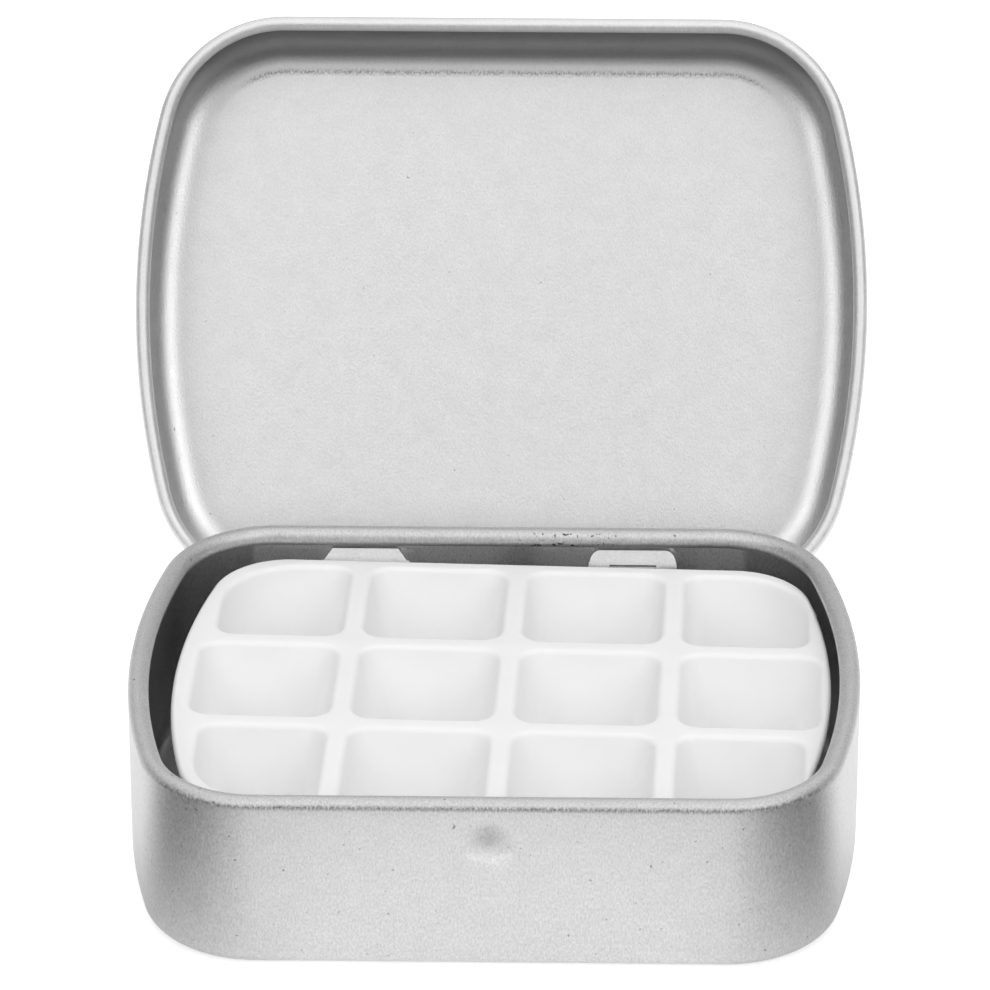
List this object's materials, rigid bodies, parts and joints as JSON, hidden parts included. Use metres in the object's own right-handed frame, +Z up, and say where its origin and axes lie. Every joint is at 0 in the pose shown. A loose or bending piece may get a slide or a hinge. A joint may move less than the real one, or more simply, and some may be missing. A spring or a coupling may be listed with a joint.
{
  "type": "watercolour palette tin",
  "caption": "Pocket hinged tin of satin tinplate with bowed ends and rolled rims, open, holding a loose white palette tray of sloped paint wells.",
  "frame": {"origin": "middle of the base's flat underside", "axes": "+Z up, -Y to the front with the catch dimple, +Y to the hinge, +X to the right seen from the front"},
  "size_m": [0.0628, 0.0743, 0.053],
  "materials": {
    "base_tinplate": "satin",
    "lid_tinplate": "satin",
    "tray_plastic": "satin"
  },
  "bodies": {
    "base": {"base_tin": "base_tinplate"},
    "lid": {"lid": "lid_tinplate"},
    "tray": {"palette_tray": "tray_plastic"}
  },
  "joints": [
    {"name": "lid_hinge", "type": "hinge", "parent": "base", "child": "lid", "pos_m": [0, 0.02325, 0.0102], "axis": [1, 0, 0], "range_deg": [0, 118.9]},
    {"name": "tray_lift", "type": "slide", "parent": "base", "child": "tray", "axis": [0, 0, 1], "range_m": [0, 0.03]}
  ]
}
